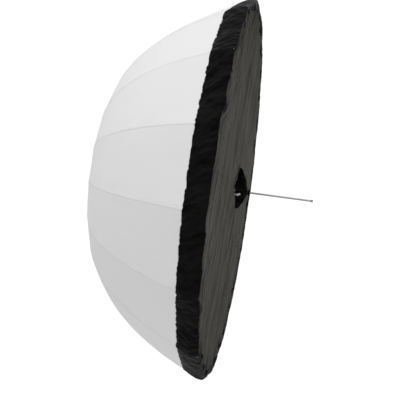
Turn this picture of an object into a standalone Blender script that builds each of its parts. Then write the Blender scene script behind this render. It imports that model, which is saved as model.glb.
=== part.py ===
"""Sixteen-rib studio umbrella reflector: white parabolic canopy, slip-on black front cover.

Frame: the shaft lies along X, its free end towards +X, the fabric's crown towards -X, +Z up.
The origin is the point on the shaft where a stand's umbrella grip holds it.
A rib's own frame has X along the shaft, Y outwards from the shaft and Z round it.
"""

import math

import bmesh
import bpy
from mathutils import Matrix, Vector

# Overall sizes
RIB_COUNT = 16
RIB_PHASE = math.radians(7.5)
RIM_RADIUS = 0.825
RIM_X = -0.243
DOME_DEPTH = 0.588
DOME_POWER = 3.4
DOME_ROUNDING = 1.1
SHAFT_END_X = 0.105
CLEARANCE = 0.0004

# Canopy cloth
CANOPY_THICKNESS = 0.0006
CROWN_HOLE_RADIUS = 0.008
CANOPY_ROWS = 17

# Shaft
SHAFT_RADIUS = 0.004
SHAFT_WALL = 0.0007
END_CAP_LENGTH = 0.01
END_CAP_WALL = 0.0008
END_CAP_FLOOR = 0.003

# Ribs and their hub
RIB_RADIUS = 0.002
CLIP_WALL = 0.0009
CLIP_LENGTH = 0.02
TIP_RADIUS = 0.003
TIP_SETBACK = 0.004
EYE_THICKNESS = 0.002
EYE_LENGTH = 0.01
EYE_TURN = math.radians(10)
WIRE_RADIUS = 0.0006
HUB_PIVOT_RADIUS = 0.015
HUB_PLATE = 0.003
HUB_LENGTH = 0.018
HUB_RIM = 0.0045
STUD_RADIUS = 0.004
STUD_LENGTH = 0.005
CROWN_CAP_RADIUS = 0.026
CROWN_CAP_HEIGHT = 0.009

# Runner and stretchers
RUNNER_SETBACK = 0.12
RUNNER_PIVOT_RADIUS = 0.015
RUNNER_BODY_RADIUS = 0.0105
RUNNER_LENGTH = 0.05
RUNNER_FLANGE = 0.0145
RUNNER_BORE_PLAY = 0.0005
STRETCHER_RADIUS = 0.0016
STRETCHER_EYE_RADIUS = 0.0021
STRETCHER_STATION = 0.42
TONGUE_THICKNESS = 0.0012

# Catch that holds the runner open
CATCH_WIDTH = 0.0016
CATCH_SPRING_LENGTH = 0.026
CATCH_STRIP = 0.0008
CATCH_RISE = 0.0025
CATCH_RAMP = 0.008
CATCH_NOSE = 0.0024
CATCH_SLOT_LENGTH = 0.012

# Front cover
COVER_THICKNESS = 0.0008
BAND_REACH = 0.089
BAND_GAP = 0.0007
BAND_FRONT = 0.003
BAND_BEND = 0.006
BAND_INNER_SHARE = 0.962
FACE_DIP = 0.002
COLLAR_BASE_RADIUS = 0.088
COLLAR_LIFT = 0.012
COLLAR_HEIGHT = 0.077
COLLAR_NECK = 0.010
COLLAR_SWELL = ((0.35, 0.92), (0.65, 0.58))
TOGGLE_RADIUS = 0.0045
TOGGLE_LENGTH = 0.014
TOGGLE_EDGE = 0.001

ROUND_STEPS = 32
HALF_GORE = math.pi / RIB_COUNT
APEX_X = RIM_X - DOME_DEPTH
CLIP_RADIUS = RIB_RADIUS + CLIP_WALL
CLIP_SHARE = CLIP_RADIUS / RIB_RADIUS
RIB_DEPTH = CANOPY_THICKNESS + CLEARANCE + max(CLIP_RADIUS, TIP_RADIUS)
EYE_SWEEP = math.hypot(RIB_RADIUS, RIB_RADIUS)
HUB_TOP_X = APEX_X + CANOPY_THICKNESS + CLEARANCE
HUB_PIVOT_X = HUB_TOP_X + HUB_PLATE + EYE_SWEEP + CLEARANCE
HUB_END_X = HUB_TOP_X + HUB_LENGTH
HUB_RADIUS = HUB_PIVOT_RADIUS + HUB_RIM
RUNNER_PIVOT_X = APEX_X + RUNNER_SETBACK
STRETCHER_SWEEP = math.hypot(STRETCHER_EYE_RADIUS, STRETCHER_EYE_RADIUS)
RUNNER_END_X = RUNNER_PIVOT_X + RUNNER_LENGTH
SHAFT_BORE = SHAFT_RADIUS - SHAFT_WALL
SHAFT_START_X = HUB_TOP_X + HUB_PLATE + CLEARANCE


def clear_scene():
    """Remove what the scene holds before the model is made."""
    for old in list(bpy.data.objects):
        bpy.data.objects.remove(old, do_unlink=True)


def new_collection(name):
    made = bpy.data.collections.new(name)
    bpy.context.scene.collection.children.link(made)
    return made


def material(name, colour, roughness, metallic=0.0):
    """A Principled material with one colour."""
    made = bpy.data.materials.new(name)
    made.use_nodes = True
    shader = made.node_tree.nodes["Principled BSDF"]
    shader.inputs["Base Color"].default_value = (*colour, 1.0)
    shader.inputs["Roughness"].default_value = roughness
    shader.inputs["Metallic"].default_value = metallic
    return made


def add_object(name, mesh, finish, collection):
    """Link a mesh as a named object with its own material slot."""
    made = bpy.data.objects.new(name, mesh)
    if finish is not None:
        mesh.materials.clear()
        mesh.materials.append(finish)
    collection.objects.link(made)
    return made


def add_part(name, mesh, finish):
    return add_object(name, mesh, finish, PARTS)


def add_cutter(name, mesh):
    """A cutter stays in the file, hidden from renders, for the Boolean that uses it."""
    made = add_object(name, mesh, None, CUTTERS)
    made.display_type = "WIRE"
    made.hide_render = True
    return made


def mesh_of(build):
    """Close a bmesh into a new mesh with round faces shaded smooth."""
    made = bpy.data.meshes.new("shape")
    build.to_mesh(made)
    build.free()
    made.shade_smooth()
    made.set_sharp_from_angle(angle=math.radians(35))
    return made


def bake(source):
    """The mesh that an object shows, with its modifiers applied, in its own frame."""
    graph = bpy.context.evaluated_depsgraph_get()
    made = bpy.data.meshes.new_from_object(source.evaluated_get(graph))
    build = bmesh.new()
    build.from_mesh(made)
    bmesh.ops.remove_doubles(build, verts=build.verts, dist=1e-6)
    bmesh.ops.recalc_face_normals(build, faces=build.faces)
    build.to_mesh(made)
    build.free()
    return made


def cut(target, cutter):
    made = target.modifiers.new("cut_" + cutter.name, "BOOLEAN")
    made.operation = "DIFFERENCE"
    made.solver = "EXACT"
    made.object = cutter


def face_outwards(build, inside):
    """Turn an open sheet's faces away from a point behind it."""
    bmesh.ops.recalc_face_normals(build, faces=build.faces)
    build.normal_update()
    outward = sum(face.normal.dot(face.calc_center_median() - inside) for face in build.faces)
    if outward < 0:
        bmesh.ops.reverse_faces(build, faces=build.faces)


def outline_mesh(points, closed):
    """A profile of (x, radius) points in the XY plane, ready for a Screw about X."""
    build = bmesh.new()
    verts = [build.verts.new((x, radius, 0.0)) for x, radius in points]
    for first, second in zip(verts, verts[1:]):
        build.edges.new((first, second))
    if closed:
        build.edges.new((verts[-1], verts[0]))
    made = bpy.data.meshes.new("outline")
    build.to_mesh(made)
    build.free()
    return made


def turned(name, points, finish, steps=ROUND_STEPS, closed=False):
    """Turn a profile about the shaft: its outer side runs from the +X end to the -X end."""
    made = add_part(name, outline_mesh(points, closed), finish)
    screw = made.modifiers.new("turn", "SCREW")
    screw.axis = "X"
    screw.steps = steps
    screw.render_steps = steps
    screw.use_merge_vertices = True
    screw.merge_threshold = 0.00001
    screw.use_smooth_shade = True
    return made


def thicken(target, thickness, side):
    """Give an open sheet its thickness: side -1 grows inwards from its faces, +1 outwards."""
    made = target.modifiers.new("wall", "SOLIDIFY")
    made.thickness = thickness
    made.offset = side
    made.use_even_offset = True


def box(build, low, high):
    """Add a box between two corners."""
    low, high = Vector(low), Vector(high)
    place = Matrix.Translation((low + high) / 2) @ Matrix.Diagonal((*(high - low), 1.0))
    return bmesh.ops.create_cube(build, size=1.0, matrix=place)["verts"]


def rod_along_z(radius, length, place, sides=12):
    """A bmesh cylinder along its own Z, moved by a matrix."""
    build = bmesh.new()
    bmesh.ops.create_cone(
        build,
        cap_ends=True,
        segments=sides,
        radius1=radius,
        radius2=radius,
        depth=length,
        matrix=place,
    )
    return build


def rib_angle(index):
    return RIB_PHASE + index * 2 * HALF_GORE


def dome_x(radius):
    """X of the canopy's outside over a rib, at a distance from the shaft."""
    share = min(1.0, radius / RIM_RADIUS)
    return RIM_X - DOME_DEPTH * (1.0 - share**DOME_POWER) ** (1.0 / DOME_ROUNDING)


def meridian(first_radius, last_radius, count):
    """Points (x, radius) on the canopy's outside over a rib, evenly spaced along the cloth."""
    fine = 600
    span = last_radius - first_radius
    dense = [Vector((dome_x(r), r)) for r in (first_radius + span * k / fine for k in range(fine + 1))]
    lengths = [0.0]
    for before, after in zip(dense, dense[1:]):
        lengths.append(lengths[-1] + (after - before).length)
    points = []
    k = 0
    for step in range(count):
        goal = lengths[-1] * step / (count - 1)
        while k < fine - 1 and lengths[k + 1] < goal:
            k += 1
        share = (goal - lengths[k]) / (lengths[k + 1] - lengths[k])
        points.append(dense[k].lerp(dense[k + 1], share))
    return points


def shifted(points, distance):
    """Move a line of (x, radius) points inwards, towards the hollow of the dome."""
    moved = []
    for k, point in enumerate(points):
        along = points[min(k + 1, len(points) - 1)] - points[max(k - 1, 0)]
        along.normalize()
        moved.append(point + Vector((along.y, -along.x)) * distance)
    return moved


def tube(points, radii, radius, resolution):
    """A bmesh tube through (x, y, z) points, its radius scaled at each point, with welded caps."""
    curve = bpy.data.curves.new("tube", "CURVE")
    curve.dimensions = "3D"
    curve.bevel_depth = radius
    curve.bevel_resolution = resolution
    curve.use_fill_caps = True
    line = curve.splines.new("POLY")
    line.points.add(len(points) - 1)
    for slot, place, share in zip(line.points, points, radii):
        slot.co = (*place, 1.0)
        slot.radius = share
    holder = bpy.data.objects.new("tube", curve)
    bpy.context.scene.collection.objects.link(holder)
    bpy.context.view_layer.update()
    made = bake(holder)
    bpy.data.objects.remove(holder, do_unlink=True)
    return made


def flatten_ends(mesh, ends):
    """Press a tube flat near its ends, each a (centre, reach, thickness, old radius, offset)."""
    for vertex in mesh.vertices:
        for centre, reach, thickness, old, offset in ends:
            if (Vector(vertex.co.xy) - Vector(centre)).length < reach:
                vertex.co.z = offset + (vertex.co.z - offset) * thickness / (2 * old)


def eye_cutter(name, centre, z):
    """A round hole through a flat end, along the direction that runs round the shaft."""
    place = Matrix.Translation((centre[0], centre[1], z)) @ Matrix.Rotation(EYE_TURN, 4, "Z")
    build = rod_along_z(WIRE_RADIUS + CLEARANCE, 4 * EYE_THICKNESS, place)
    return add_cutter(name, mesh_of(build))


def ridge():
    """The canopy's outside over a rib, from the crown's hole to the rim."""
    return meridian(CROWN_HOLE_RADIUS, RIM_RADIUS, CANOPY_ROWS)


def rib_line():
    """The rib's centre line under the ridge, from where it has left the hub to the rim."""
    lead = HUB_PIVOT_RADIUS + 3 * EYE_LENGTH
    return [point for point in shifted(ridge(), RIB_DEPTH) if point.y > lead]


def rib_joint():
    """Where a stretcher meets its rib, mid-way between two rows, and the rib's direction there."""
    radius = RIM_RADIUS * STRETCHER_STATION
    line = rib_line()
    k = max(k for k, point in enumerate(line[:-1]) if point.y <= radius)
    before, after = line[k], line[k + 1]
    return before.lerp(after, 0.5), (after - before).normalized()


def make_shaft():
    """The steel tube, its catch slot and the plastic cap on its free end."""
    tube_end = SHAFT_END_X - END_CAP_FLOOR - CLEARANCE
    outline = [
        (tube_end, SHAFT_BORE),
        (tube_end, SHAFT_RADIUS),
        (SHAFT_START_X, SHAFT_RADIUS),
        (SHAFT_START_X, SHAFT_BORE),
    ]
    shaft = turned("shaft", outline, STEEL, closed=True)
    slot = bmesh.new()
    start = RUNNER_END_X + CLEARANCE
    half = CATCH_WIDTH / 2 + CLEARANCE
    box(slot, (start, -half, 0.0), (start + CATCH_SLOT_LENGTH, half, 2 * SHAFT_RADIUS))
    cut(shaft, add_cutter("catch_slot_cutter", mesh_of(slot)))

    inner = SHAFT_RADIUS + CLEARANCE
    outer = inner + END_CAP_WALL
    mouth = SHAFT_END_X - END_CAP_LENGTH
    cap = [
        (SHAFT_END_X, 0.0),
        (SHAFT_END_X, outer - END_CAP_WALL),
        (SHAFT_END_X - END_CAP_WALL, outer),
        (mouth, outer),
        (mouth, inner),
        (tube_end + CLEARANCE, inner),
        (tube_end + CLEARANCE, 0.0),
    ]
    turned("shaft_end_cap", cap, BLACK_PLASTIC)


def make_catch():
    """The sprung catch: a strip inside the shaft with a ramped tongue that stands out of the slot."""
    back = RUNNER_END_X + 2 * CLEARANCE
    top = SHAFT_RADIUS + CATCH_RISE
    strip_top = SHAFT_BORE / 2
    points = [
        (back, strip_top - CATCH_STRIP),
        (back + CATCH_SPRING_LENGTH, strip_top - CATCH_STRIP),
        (back + CATCH_SPRING_LENGTH, strip_top),
        (back + CATCH_RAMP, strip_top),
        (back + CATCH_NOSE, top),
        (back, top),
    ]
    build = bmesh.new()
    half = CATCH_WIDTH / 2
    face = build.faces.new([build.verts.new((x - back, half, z)) for x, z in points])
    side = bmesh.ops.extrude_face_region(build, geom=[face])["geom"]
    bmesh.ops.translate(
        build,
        verts=[part for part in side if isinstance(part, bmesh.types.BMVert)],
        vec=(0.0, -CATCH_WIDTH, 0.0),
    )
    bmesh.ops.recalc_face_normals(build, faces=build.faces)
    catch = add_part("catch_spring", mesh_of(build), STEEL)
    catch.location = (back, 0.0, 0.0)


def slots_cutter(name, low_x, high_x, low_radius, high_radius, width):
    """One box for each rib, round the shaft."""
    build = bmesh.new()
    for index in range(RIB_COUNT):
        corners = box(build, (low_x, low_radius, -width / 2), (high_x, high_radius, width / 2))
        turn = Matrix.Rotation(rib_angle(index), 3, "X")
        bmesh.ops.rotate(build, verts=corners, cent=(0.0, 0.0, 0.0), matrix=turn)
    return add_cutter(name, mesh_of(build))


def wire_ring(name, x, radius):
    """The wire that the eyes hang on."""
    bpy.ops.mesh.primitive_torus_add(
        major_radius=radius,
        minor_radius=WIRE_RADIUS,
        major_segments=ROUND_STEPS,
        minor_segments=6,
        rotation=(0.0, math.pi / 2, 0.0),
    )
    made = bpy.context.object
    bpy.context.collection.objects.unlink(made)
    made.name = name
    made.location = (x, 0.0, 0.0)
    made.data.materials.append(STEEL)
    PARTS.objects.link(made)
    return made


def make_hub():
    """The slotted hub at the shaft's closed end, its wire, and the crown cap outside the cloth."""
    groove = WIRE_RADIUS + CLEARANCE
    groove_floor = HUB_PIVOT_RADIUS - groove
    bore = SHAFT_RADIUS + CLEARANCE
    outline = [
        (HUB_END_X, bore),
        (HUB_END_X, HUB_RADIUS),
        (HUB_PIVOT_X + groove, HUB_RADIUS),
        (HUB_PIVOT_X + groove, groove_floor),
        (HUB_PIVOT_X - groove, groove_floor),
        (HUB_PIVOT_X - groove, HUB_RADIUS),
        (HUB_TOP_X, HUB_RADIUS),
        (HUB_TOP_X, STUD_RADIUS),
        (APEX_X - STUD_LENGTH, STUD_RADIUS),
        (APEX_X - STUD_LENGTH, 0.0),
    ]
    outline = [(HUB_TOP_X + HUB_PLATE, 0.0), (HUB_TOP_X + HUB_PLATE, bore), *outline]
    hub = turned("rib_hub", outline, BLACK_PLASTIC)
    slots = slots_cutter(
        "hub_slot_cutter",
        HUB_PIVOT_X - EYE_SWEEP - CLEARANCE / 2,
        HUB_END_X + HUB_PLATE,
        HUB_PIVOT_RADIUS - EYE_SWEEP - CLEARANCE,
        HUB_RADIUS + HUB_RIM,
        EYE_THICKNESS + 2 * CLEARANCE,
    )
    cut(hub, slots)
    wire_ring("hub_wire", HUB_PIVOT_X, HUB_PIVOT_RADIUS)

    seat_x = APEX_X - CLEARANCE
    top_x = seat_x - CROWN_CAP_HEIGHT
    socket = STUD_RADIUS + CLEARANCE
    cap = [
        (APEX_X - STUD_LENGTH - CLEARANCE, 0.0),
        (APEX_X - STUD_LENGTH - CLEARANCE, socket),
        (seat_x, socket),
        (seat_x, CROWN_CAP_RADIUS),
        (seat_x - 0.2 * CROWN_CAP_HEIGHT, CROWN_CAP_RADIUS),
        (seat_x - 0.6 * CROWN_CAP_HEIGHT, 0.75 * CROWN_CAP_RADIUS),
        (top_x, 0.35 * CROWN_CAP_RADIUS),
        (top_x, 0.0),
    ]
    turned("crown_cap", cap, BLACK_PLASTIC)


def make_runner():
    """The sliding runner with its slotted flange, and its wire."""
    groove = WIRE_RADIUS + CLEARANCE
    groove_floor = RUNNER_PIVOT_RADIUS - groove
    bore = SHAFT_RADIUS + RUNNER_BORE_PLAY
    flange_radius = RUNNER_PIVOT_RADIUS + HUB_RIM
    flange_start = RUNNER_PIVOT_X - RUNNER_FLANGE / 2
    flange_end = RUNNER_PIVOT_X + RUNNER_FLANGE / 2
    lip = 0.15 * RUNNER_BODY_RADIUS
    outline = [
        (RUNNER_END_X, bore),
        (RUNNER_END_X, RUNNER_BODY_RADIUS - lip),
        (RUNNER_END_X - lip, RUNNER_BODY_RADIUS),
        (RUNNER_END_X - 4 * lip, RUNNER_BODY_RADIUS),
        (RUNNER_END_X - 7 * lip, RUNNER_BODY_RADIUS - lip),
        (flange_end + 4 * lip, RUNNER_BODY_RADIUS - lip),
        (flange_end, flange_radius),
        (RUNNER_PIVOT_X + groove, flange_radius),
        (RUNNER_PIVOT_X + groove, groove_floor),
        (RUNNER_PIVOT_X - groove, groove_floor),
        (RUNNER_PIVOT_X - groove, flange_radius),
        (flange_start, flange_radius),
        (flange_start, bore),
    ]
    runner = turned("runner", outline, BLACK_PLASTIC, closed=True)
    slots = slots_cutter(
        "runner_slot_cutter",
        flange_start - RUNNER_FLANGE,
        RUNNER_PIVOT_X + STRETCHER_SWEEP + CLEARANCE,
        RUNNER_PIVOT_RADIUS - STRETCHER_SWEEP - CLEARANCE,
        flange_radius + RUNNER_FLANGE,
        TONGUE_THICKNESS + 2 * CLEARANCE,
    )
    cut(runner, slots)
    wire_ring("runner_wire", RUNNER_PIVOT_X, RUNNER_PIVOT_RADIUS)


def rib_mesh():
    """A bent rod from its hub eye to its tip, with the clip that its stretcher works on."""
    pivot = Vector((HUB_PIVOT_X, HUB_PIVOT_RADIUS))
    joint, along = rib_joint()
    line = rib_line()
    line[-1] = line[-1] - (line[-1] - line[-2]).normalized() * TIP_SETBACK
    half = CLIP_LENGTH / 2
    shoulder = 1.2 * half
    clip = [(-shoulder, 1.0), (-half, CLIP_SHARE), (half, CLIP_SHARE), (shoulder, 1.0)]
    clip = [(joint + along * distance, share) for distance, share in clip]
    inner = [(point, 1.0) for point in line if point.y < joint.y - 1.5 * half]
    outer = [(point, 1.0) for point in line if point.y > joint.y + 1.5 * half]
    stations = inner + clip + outer
    tip = stations.pop()[0]
    along = (tip - stations[-1][0]).normalized()
    stations.append((tip - along * 4 * TIP_RADIUS, 1.0))
    stations.append((tip - along * 2.5 * TIP_RADIUS, TIP_RADIUS / RIB_RADIUS))
    stations.append((tip - along * TIP_RADIUS, TIP_RADIUS / RIB_RADIUS))
    stations.append((tip, 0.6))
    start = [
        (pivot - Vector((0.0, RIB_RADIUS)), 1.0),
        (pivot + Vector((0.0, EYE_LENGTH / 2)), 1.0),
        (pivot + Vector((0.0, EYE_LENGTH)), 1.0),
    ]
    stations = start + stations
    places = [(*(point - pivot), 0.0) for point, _ in stations]
    made = tube(places, [share for _, share in stations], RIB_RADIUS, 1)
    flatten_ends(made, [((0.0, 0.0), 0.75 * EYE_LENGTH, EYE_THICKNESS, RIB_RADIUS, 0.0)])
    blank = add_object("rib_blank", made, BLACK_FIBRE, CUTTERS)
    blank.hide_render = True
    cut(blank, eye_cutter("rib_eye_cutter", (0.0, 0.0), 0.0))
    bpy.context.view_layer.update()
    finished = bake(blank)
    bpy.data.objects.remove(blank, do_unlink=True)
    return finished


def stretcher_mesh():
    """A straight rod from the runner wire to the side of its rib's clip, flat at both ends."""
    pivot = Vector((RUNNER_PIVOT_X, RUNNER_PIVOT_RADIUS))
    joint = rib_joint()[0]
    reach = (joint - pivot).length
    along = (joint - pivot).normalized()
    side = CLIP_RADIUS + CLEARANCE + TONGUE_THICKNESS / 2
    eye = STRETCHER_EYE_RADIUS
    bulge = eye / STRETCHER_RADIUS
    flat = 6 * eye
    distances = (-eye, flat, 1.4 * flat, reach / 2, reach - 1.4 * flat, reach - flat, reach + eye)
    shares = (bulge, bulge, 1.0, 1.0, 1.0, bulge, bulge)
    places = []
    for distance in distances:
        run = min(max((distance - flat) / (reach - 2 * flat), 0.0), 1.0)
        places.append((*(along * distance), side * run))
    made = tube(places, shares, STRETCHER_RADIUS, 1)
    far = along * reach
    flatten_ends(
        made,
        [
            ((0.0, 0.0), 1.1 * flat, TONGUE_THICKNESS, eye, 0.0),
            ((far.x, far.y), 1.1 * flat, TONGUE_THICKNESS, eye, side),
        ],
    )
    blank = add_object("stretcher_blank", made, BLACK_STEEL, CUTTERS)
    blank.hide_render = True
    cut(blank, eye_cutter("stretcher_eye_cutter", (0.0, 0.0), 0.0))
    cut(blank, eye_cutter("stretcher_far_cutter", (far.x, far.y), side))
    bpy.context.view_layer.update()
    finished = bake(blank)
    bpy.data.objects.remove(blank, do_unlink=True)
    return finished


def panel_mesh():
    """The cloth over one rib, out to the middle of the gore on each side, flat across each half."""
    build = bmesh.new()
    pivot = Vector((HUB_PIVOT_X, HUB_PIVOT_RADIUS, 0.0))
    verts = [build.verts.new(Vector((*point, 0.0)) - pivot) for point in ridge()]
    edges = [build.edges.new(pair) for pair in zip(verts, verts[1:])]
    seam = CLEARANCE / 2
    for side in (-1.0, 1.0):
        made = bmesh.ops.extrude_edge_only(build, edges=edges)["geom"]
        moved = [part for part in made if isinstance(part, bmesh.types.BMVert)]
        for vertex in moved:
            radius = vertex.co.y + pivot.y
            reach = radius * math.cos(HALF_GORE)
            across = Vector((0.0, -math.sin(HALF_GORE), side * math.cos(HALF_GORE)))
            middle = Vector((0.0, reach * math.cos(HALF_GORE), side * reach * math.sin(HALF_GORE)))
            middle -= across * seam
            vertex.co.y = middle.y - pivot.y
            vertex.co.z = middle.z
    face_outwards(build, Vector((DOME_DEPTH / 2, 0.0, 0.0)))
    return mesh_of(build)


def make_ribs():
    """Ribs, stretchers and canopy panels, each with its origin on its own hinge."""
    rib, stretcher, panel = rib_mesh(), stretcher_mesh(), panel_mesh()
    for index in range(RIB_COUNT):
        angle = rib_angle(index)
        outwards = Vector((0.0, math.cos(angle), math.sin(angle)))
        hub_point = outwards * HUB_PIVOT_RADIUS + Vector((HUB_PIVOT_X, 0.0, 0.0))
        runner_point = outwards * RUNNER_PIVOT_RADIUS + Vector((RUNNER_PIVOT_X, 0.0, 0.0))
        number = f"{index + 1:02d}"
        for name, mesh, finish, place in (
            ("rib_", rib, BLACK_FIBRE, hub_point),
            ("stretcher_", stretcher, BLACK_STEEL, runner_point),
            ("canopy_panel_", panel, WHITE_CLOTH, hub_point),
        ):
            made = add_part(name + number, mesh, finish)
            made.location = place
            made.rotation_euler = (angle, 0.0, 0.0)
            if mesh is panel:
                thicken(made, CANOPY_THICKNESS, -1.0)


def make_cover_band():
    """The elastic band: back along the canopy's outside, round the rim and in over the front."""
    back = RIM_X - BAND_REACH
    low = 0.8 * RIM_RADIUS
    high = RIM_RADIUS
    for _ in range(40):
        middle = (low + high) / 2
        low, high = (middle, high) if dome_x(middle) < back else (low, middle)
    outside = shifted(meridian(low, RIM_RADIUS, 6), -BAND_GAP)
    front = RIM_X + BAND_FRONT
    line = [
        *outside,
        Vector((RIM_X + 0.6 * BAND_FRONT, RIM_RADIUS + BAND_GAP - 0.1 * BAND_BEND)),
        Vector((front, RIM_RADIUS - BAND_BEND)),
        Vector((front, RIM_RADIUS - 2 * BAND_BEND)),
        Vector((RIM_X - FACE_DIP, RIM_RADIUS * BAND_INNER_SHARE)),
    ]
    band = turned(
        "cover_band",
        [tuple(point) for point in reversed(line)],
        BLACK_GLOSS_CLOTH,
        steps=RIB_COUNT,
    )
    band.rotation_euler = (RIB_PHASE, 0.0, 0.0)
    thicken(band, COVER_THICKNESS, 1.0)


def ring_edges(build, radius, segments, x, lift, angle):
    """A closed loop of edges round the shaft."""
    place = Matrix.Translation((x, 0.0, lift)) @ Matrix.Rotation(angle, 4, "X")
    place = place @ Matrix.Rotation(math.pi / 2, 4, "Y")
    made = bmesh.ops.create_circle(build, segments=segments, radius=radius, matrix=place)
    return list({edge for vertex in made["verts"] for edge in vertex.link_edges})


def loft(build, first, second, cuts):
    """Join two edge loops and split what joins them into rows."""
    made = bmesh.ops.bridge_loops(build, edges=first + second)
    loops = set(first + second)
    across = [edge for edge in made["edges"] if edge not in loops]
    bmesh.ops.subdivide_edges(build, edges=across, cuts=cuts, use_grid_fill=True)


def make_cover_face():
    """The flat face: sixteen straight sides outside, a round opening for the collar inside."""
    build = bmesh.new()
    x = RIM_X - FACE_DIP
    edge_radius = RIM_RADIUS * BAND_INNER_SHARE - 2 * CLEARANCE - COVER_THICKNESS
    outer = ring_edges(build, edge_radius, RIB_COUNT, x, 0.0, RIB_PHASE)
    bmesh.ops.subdivide_edges(build, edges=outer, cuts=1)
    outer = list(build.edges)
    hole = COLLAR_BASE_RADIUS + 2 * CLEARANCE
    inner = ring_edges(build, hole, 2 * RIB_COUNT, x, COLLAR_LIFT, RIB_PHASE)
    loft(build, outer, inner, 2)
    bmesh.ops.recalc_face_normals(build, faces=build.faces)
    face = add_part("cover_face", mesh_of(build), BLACK_MATTE_CLOTH)
    thicken(face, COVER_THICKNESS, 0.0)


def make_collar():
    """The gathered sleeve that closes on the shaft, and the cord toggle at its neck."""
    build = bmesh.new()
    base_x = RIM_X - FACE_DIP
    neck_radius = SHAFT_RADIUS + CLEARANCE + END_CAP_WALL + 2 * CLEARANCE + COVER_THICKNESS
    shoulder_x = base_x + COLLAR_HEIGHT - COLLAR_NECK
    rows = [(base_x, COLLAR_BASE_RADIUS, COLLAR_LIFT)]
    for rise, share in COLLAR_SWELL:
        rows.append((base_x + rise * COLLAR_HEIGHT, share * COLLAR_BASE_RADIUS, share * COLLAR_LIFT))
    rows.append((shoulder_x, neck_radius, 0.0))
    rows.append((shoulder_x + COLLAR_NECK, neck_radius, 0.0))
    loops = [ring_edges(build, radius, ROUND_STEPS, x, lift, RIB_PHASE) for x, radius, lift in rows]
    for first, second in zip(loops, loops[1:]):
        bmesh.ops.bridge_loops(build, edges=first + second)
    face_outwards(build, Vector((base_x, 0.0, 0.0)))
    collar = add_part("cover_collar", mesh_of(build), BLACK_GLOSS_CLOTH)
    thicken(collar, COVER_THICKNESS, -1.0)

    height = neck_radius + CLEARANCE + TOGGLE_RADIUS
    place = Matrix.Translation((shoulder_x + COLLAR_NECK / 2, 0.0, height))
    build = rod_along_z(TOGGLE_RADIUS, TOGGLE_LENGTH, place @ Matrix.Rotation(math.pi / 2, 4, "X"), 16)
    toggle = add_part("collar_toggle", mesh_of(build), BLACK_PLASTIC)
    rounding = toggle.modifiers.new("edges", "BEVEL")
    rounding.width = TOGGLE_EDGE
    rounding.segments = 2
    rounding.limit_method = "ANGLE"


clear_scene()
PARTS = new_collection("umbrella_reflector")
CUTTERS = new_collection("cutters")
CUTTERS.hide_render = True
STEEL = material("polished_steel", (0.62, 0.62, 0.63), 0.25, 1.0)
BLACK_STEEL = material("black_steel", (0.03, 0.03, 0.03), 0.4, 0.6)
BLACK_FIBRE = material("black_fibreglass", (0.02, 0.02, 0.02), 0.35)
BLACK_PLASTIC = material("black_plastic", (0.02, 0.02, 0.02), 0.45)
WHITE_CLOTH = material("white_nylon", (0.85, 0.85, 0.85), 0.7)
BLACK_MATTE_CLOTH = material("black_matte_nylon", (0.04, 0.04, 0.04), 0.85)
BLACK_GLOSS_CLOTH = material("black_gloss_nylon", (0.01, 0.01, 0.01), 0.3)
make_shaft()
make_catch()
make_hub()
make_runner()
make_ribs()
make_cover_band()
make_cover_face()
make_collar()
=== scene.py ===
"""Looks of a sixteen-rib studio umbrella reflector wearing its slip-on black front cover.

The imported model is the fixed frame: the shaft lies along X, the crown is towards -X and +Z is up.
Cloth is swept round the shaft: a station runs along the cloth, an angle runs from +Y towards +Z.
"""

import logging
import math
from collections.abc import Callable, Sequence
from dataclasses import dataclass, field
from enum import Enum

import bmesh
import bpy
from mathutils import Matrix, Vector, noise


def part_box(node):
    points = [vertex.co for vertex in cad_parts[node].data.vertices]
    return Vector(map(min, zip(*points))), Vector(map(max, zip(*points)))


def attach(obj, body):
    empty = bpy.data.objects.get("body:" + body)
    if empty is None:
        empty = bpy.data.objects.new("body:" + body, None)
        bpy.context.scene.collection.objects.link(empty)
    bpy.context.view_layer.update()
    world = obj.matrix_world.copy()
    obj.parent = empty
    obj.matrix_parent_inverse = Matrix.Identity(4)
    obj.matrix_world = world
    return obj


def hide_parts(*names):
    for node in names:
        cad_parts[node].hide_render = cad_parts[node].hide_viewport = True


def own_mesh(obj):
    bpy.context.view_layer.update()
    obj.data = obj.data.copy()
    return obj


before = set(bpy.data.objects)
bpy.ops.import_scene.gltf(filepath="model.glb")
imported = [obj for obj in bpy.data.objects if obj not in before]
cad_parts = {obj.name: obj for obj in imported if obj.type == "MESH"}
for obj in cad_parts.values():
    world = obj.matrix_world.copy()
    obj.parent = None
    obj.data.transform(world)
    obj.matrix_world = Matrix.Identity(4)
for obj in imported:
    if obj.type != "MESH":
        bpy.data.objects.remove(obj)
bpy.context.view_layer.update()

LOG = logging.getLogger("umbrella_reflector")

Place = Callable[[float, float], Vector]
Colour = tuple[float, float, float]


# ---- shader maths


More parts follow.
